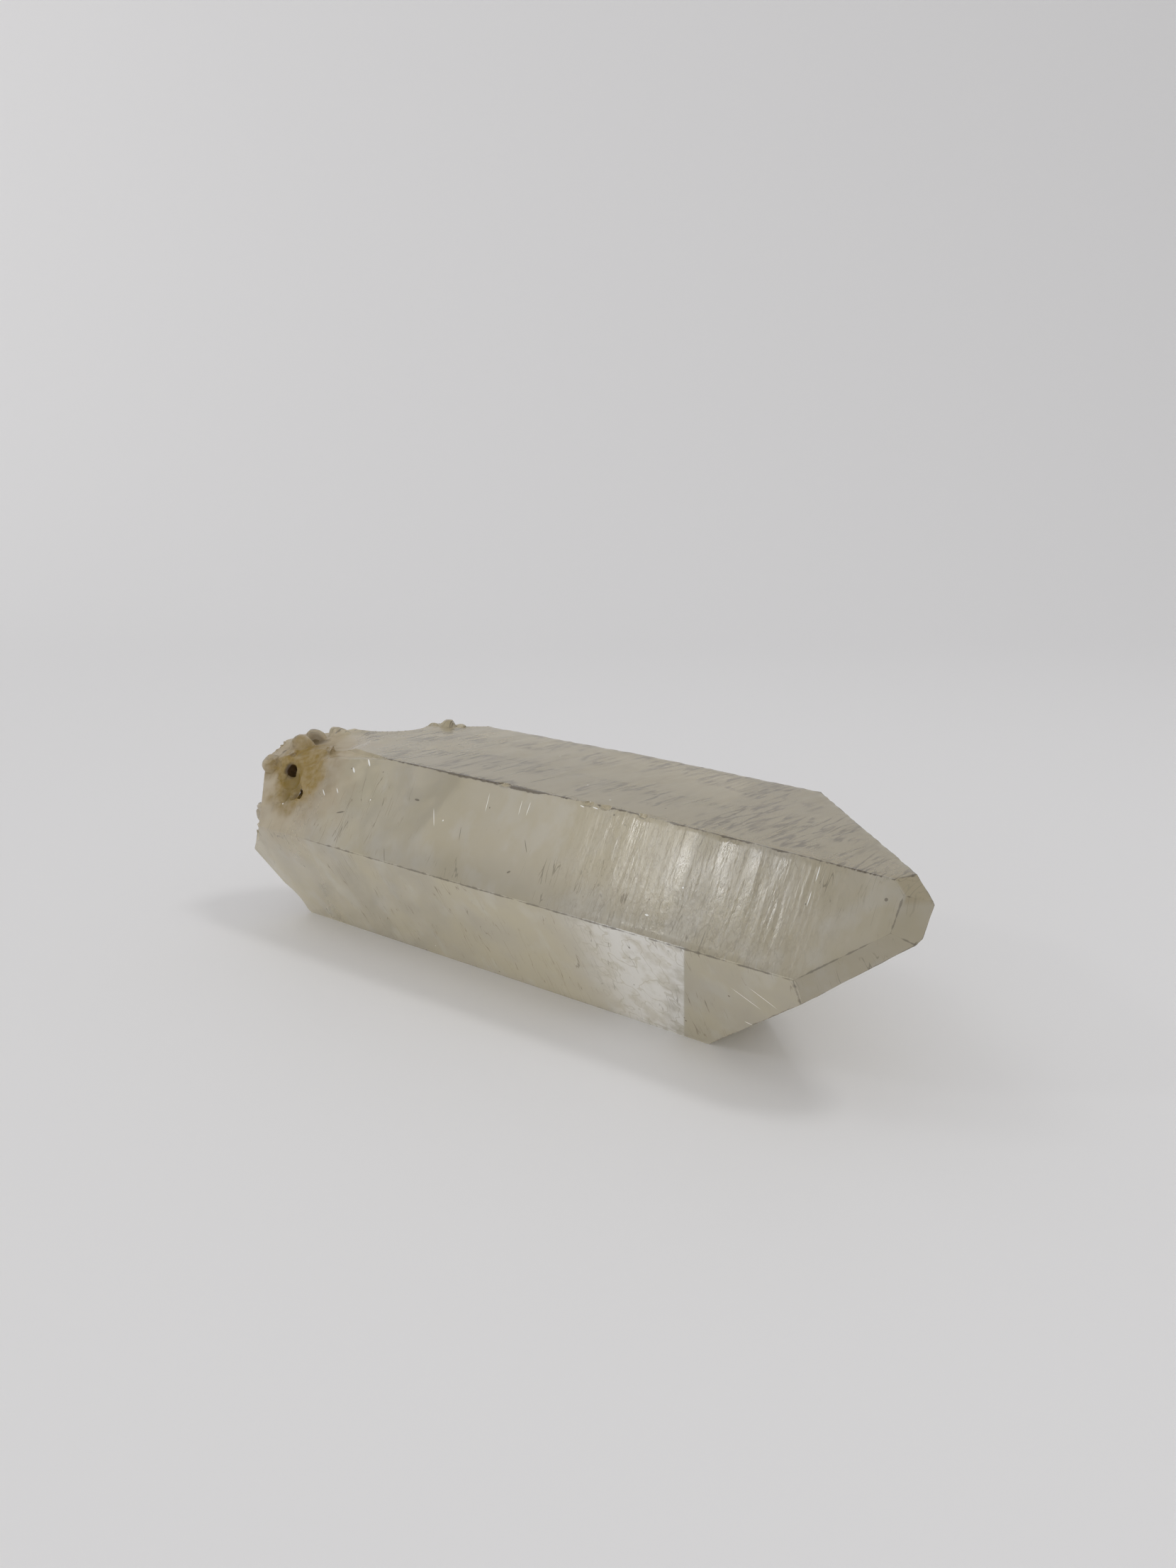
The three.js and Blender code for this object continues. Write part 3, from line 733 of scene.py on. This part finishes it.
# How clear the quartz is: most where it is clean, less in the milky base, the stain and the dirt.
CLEAR = 0.58
BASE_END = (-88.0, -114.0)
MILKY_END = (-48.0, -105.0)
GROWN_ROUGHNESS = (0.12, 0.24)
EXTRA_ROUGHNESS = 0.2  # on the break and at the base end
base_end = fade(along, *BASE_END)
milky_end = fade(along, *MILKY_END, 0, 0.5)
milk = either(both(either(base_end, milky_end), fade(patchy, 0.3, 0.7, 0.25, 0.55)), both(rough_part, 0.4))
milk = either(milk, both(near_face("frontLower"), fade(patchy, 0.3, 0.7, 0.12, 0.3)))
milk = either(milk, both(stain, 0.7))
milk = either(milk, both(painted_light_patch, 0.6))
milk = either(milk, both(either(dirt, either(marks, dark_marks)), 0.9))
see_through = both(maths("SUBTRACT", 1.0, milk), CLEAR)
roughness = fade(cloud((5, 12, 12), 3), 0.3, 0.7, *GROWN_ROUGHNESS)
roughness = maths("ADD", roughness, both(either(base_end, rough_part), EXTRA_ROUGHNESS))

# Growth lines and etching that are too fine for the mesh, as one height in a bump.
FINE_RELIEF = 0.22 * MM
STREAKS_START = (-20.0, 0.0)
STREAKS_END = (34.0, 14.0)
wide_lines = cloud((1.8, 12, 12), 1, 0.4)
fine_lines = cloud((0.7, 6, 6), 2, 0.45, offset=(2, 6, 1))
streaked_part = both(near_face("frontUpper"), both(fade(along, *STREAKS_START), fade(along, *STREAKS_END)))
wide_height = maths("ADD", 0.12, both(streaked_part, 0.20))
fine_height = maths("ADD", 0.03, both(near_face("top"), 0.03))
fine_height = maths("ADD", fine_height, both(etched_part, 0.11))
etch_height = maths("ADD", 0.02, both(etched_part, 0.10))
etch_height = maths("ADD", etch_height, both(rough_part, 0.2))
height = maths("ADD", both(wide_lines, wide_height), both(fine_lines, fine_height))
height = maths("ADD", height, both(etch, etch_height))
bump = add("Bump", {"Height": height, "Strength": 1.0, "Distance": FINE_RELIEF})

QUARTZ_IOR = 1.544
surface = add(
    "BsdfPrincipled",
    {
        "Base Color": colour,
        "Roughness": roughness,
        "IOR": QUARTZ_IOR,
        "Transmission Weight": see_through,
        "Normal": bump,
    },
)
SMOKE = (0.42, 0.33, 0.10, 1)
SMOKE_DENSITY = 8.0
absorption = add("VolumeAbsorption", {"Color": SMOKE, "Density": SMOKE_DENSITY})
output = tree.nodes.new("ShaderNodeOutputMaterial")
tree.links.new(surface, output.inputs["Surface"])
tree.links.new(absorption, output.inputs["Volume"])
crystal.data.materials.clear()
crystal.data.materials.append(quartz)

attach(crystal, "root")
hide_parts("crystal")

# ---- Floor and backdrop ----
# A wide sheet of matt pale card. It lies flat under the crystal, from behind the camera to well past
# the crystal, and curves up there into a wall.

card = bpy.data.materials.new("pale_card")
card.use_nodes = True
card_shader = card.node_tree.nodes["Principled BSDF"]
CARD_COLOUR = (0.92, 0.915, 0.915, 1)
CARD_ROUGHNESS = 0.6
card_shader.inputs["Base Color"].default_value = CARD_COLOUR
card_shader.inputs["Roughness"].default_value = CARD_ROUGHNESS

# the way the camera looks, and where it stands
LOOK = Vector((-0.6108, 0.7539, -0.2419))
CAMERA_PLACE = Vector((150.93, -189.80, 99.67)) * MM
level_look = Vector((LOOK.x, LOOK.y, 0)).normalized()
sideways = Vector((level_look.y, -level_look.x, 0))
# in metres: how far the flat card runs ahead of the camera and behind it, its width, and the curve
CARD_REACH = 0.74
CARD_BEHIND = 2.2
CARD_WIDTH = 6.0
CURVE_RADIUS = 0.6
WALL_HEIGHT = 2.0
CURVE_STEPS = 24
ON_CURVE_START = -0.01  # corners farther ahead than this, from where the curve starts, lie on its start
curve_start = Vector((CAMERA_PLACE.x, CAMERA_PLACE.y, 0)) + level_look * CARD_REACH
length = CARD_REACH + CARD_BEHIND
bpy.ops.object.select_all(action="DESELECT")
bpy.ops.mesh.primitive_plane_add(size=1)
floor = bpy.context.object
floor.name = "floor"
middle = curve_start - level_look * length / 2
card_axes = Matrix((sideways * CARD_WIDTH, level_look * length, Vector((0, 0, 1)))).transposed().to_4x4()
floor.matrix_world = Matrix.Translation(middle) @ card_axes
bpy.ops.object.transform_apply(location=True, rotation=True, scale=True)
for edge in floor.data.edges:
    ends = [floor.data.vertices[i].co for i in edge.vertices]
    edge.select = all((end - curve_start).dot(level_look) > ON_CURVE_START for end in ends)
for vertex in floor.data.vertices:
    vertex.select = (vertex.co - curve_start).dot(level_look) > ON_CURVE_START
for polygon in floor.data.polygons:
    polygon.select = False
bpy.ops.object.mode_set(mode="EDIT")
bpy.ops.mesh.select_mode(type="EDGE")
curve_middle = curve_start + Vector((0, 0, CURVE_RADIUS))
bpy.ops.mesh.spin(steps=CURVE_STEPS, angle=-math.pi / 2, center=curve_middle, axis=sideways)
bpy.ops.mesh.extrude_region_move(TRANSFORM_OT_translate={"value": (0, 0, WALL_HEIGHT)})
bpy.ops.object.mode_set(mode="OBJECT")
bpy.ops.object.shade_smooth()
floor.data.materials.append(card)

# ---- Light ----
# A bright even room with two soft lamps overhead, a small one whose glint falls on the upper front
# face, a broad low one in front, and one for the backdrop.

world = bpy.data.worlds.new("room")
bpy.context.scene.world = world
world.use_nodes = True
room = world.node_tree.nodes["Background"]
ROOM_COLOUR = (0.98, 0.975, 0.985, 1)
ROOM_BRIGHTNESS = 0.565
room.inputs["Color"].default_value = ROOM_COLOUR
room.inputs["Strength"].default_value = ROOM_BRIGHTNESS


def soft_lamp(name, towards, distance, size, power):
    """A square lamp that looks at the crystal from one side, in metres and watts."""
    towards = Vector(towards).normalized()
    bpy.ops.object.light_add(type="AREA", location=towards * distance)
    lamp = bpy.context.object
    lamp.name = name
    lamp.data.size = size
    lamp.data.energy = power
    lamp.rotation_mode = "QUATERNION"
    lamp.rotation_quaternion = towards.to_track_quat("Z", "Y")


soft_lamp("lamp_behind", (0.405, 0.163, 0.90), 0.9, 0.16, 0.85)
soft_lamp("lamp_front", (-0.409, -0.279, 0.869), 0.9, 0.22, 0.24)
soft_lamp("window", (-0.4312, -0.6765, 0.597), 0.768, 0.06, 0.17)
soft_lamp("low_fill", (0.10, -0.98, 0.12), 0.9, 0.5, 0.95)
# The backdrop's lamp hangs ahead of the camera, to its left and above it, and shines on the wall.
WALL_LAMP_AHEAD = 0.5
WALL_LAMP_LEFT = 1.0
WALL_LAMP_RISE = 0.5
WALL_LAMP_TURN = 0.3
WALL_LAMP_SIZE = 0.5
WALL_LAMP_POWER = 1.3
wall_lamp_place = CAMERA_PLACE + level_look * WALL_LAMP_AHEAD - sideways * WALL_LAMP_LEFT
wall_lamp_place.z += WALL_LAMP_RISE
bpy.ops.object.light_add(type="AREA", location=wall_lamp_place)
wall_lamp = bpy.context.object
wall_lamp.name = "wall_lamp"
wall_lamp.data.size = WALL_LAMP_SIZE
wall_lamp.data.energy = WALL_LAMP_POWER
wall_lamp.rotation_mode = "QUATERNION"
wall_lamp.rotation_quaternion = (-level_look - sideways * WALL_LAMP_TURN).to_track_quat("Z", "Y")

# ---- Camera ----
# A phone held close over the table, looking down a little along the crystal from its tip's front
# side. The lens is given for a frame 36 mm high.

LENS = 27.81
FRAME_HEIGHT = 36
NEAREST_SEEN = 0.005
ROLL = math.radians(-0.11)
right = LOOK.cross(Vector((0, 0, 1))).normalized()
up = right.cross(LOOK).normalized()
camera_data = bpy.data.cameras.new("camera")
camera_data.lens = LENS
camera_data.sensor_width = FRAME_HEIGHT
camera_data.clip_start = NEAREST_SEEN
camera = bpy.data.objects.new("camera", camera_data)
bpy.context.collection.objects.link(camera)
axes = Matrix((right, up, -LOOK)).transposed().to_4x4()
camera.matrix_world = Matrix.Translation(CAMERA_PLACE) @ axes @ Matrix.Rotation(ROLL, 4, "Z")
bpy.context.scene.camera = camera
bpy.context.scene.view_settings.view_transform = "Standard"
